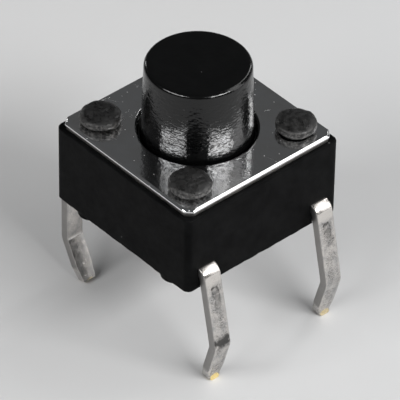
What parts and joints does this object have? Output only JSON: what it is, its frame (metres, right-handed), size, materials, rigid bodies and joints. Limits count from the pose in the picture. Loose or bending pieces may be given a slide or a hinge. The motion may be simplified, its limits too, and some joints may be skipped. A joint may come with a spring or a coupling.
{
  "type": "tactile push button switch",
  "caption": "Through-hole tactile push button switch with a round black button, staked steel cover plate and snap-in legs.",
  "frame": {"origin": "centre of the switch on the board's top face, in the plane of the feet", "axes": "+Z along the button, away from the board; the legs leave the base on its +X and -X faces"},
  "size_m": [0.0071, 0.006, 0.0089],
  "materials": {
    "base_plastic": "satin moulded black",
    "button_plastic": "semi-gloss moulded black",
    "cover_steel": "bright plated sheet steel with fine scratches",
    "dome_steel": "bright spring steel",
    "plated_brass": "silver plated, mottled with tarnish"
  },
  "bodies": {
    "switch_body": {"base": "base_plastic", "cover_plate": "cover_steel", "snap_dome": "dome_steel", "middle_terminal": "plated_brass", "rim_terminal": "plated_brass"},
    "button_body": {"button": "button_plastic"}
  },
  "joints": [
    {"name": "press", "type": "slide", "parent": "switch_body", "child": "button_body", "axis": [0, 0, -1], "range_m": [0, 0.00025], "stiffness_N_per_m": 6000, "deforming": ["snap_dome"]}
  ]
}
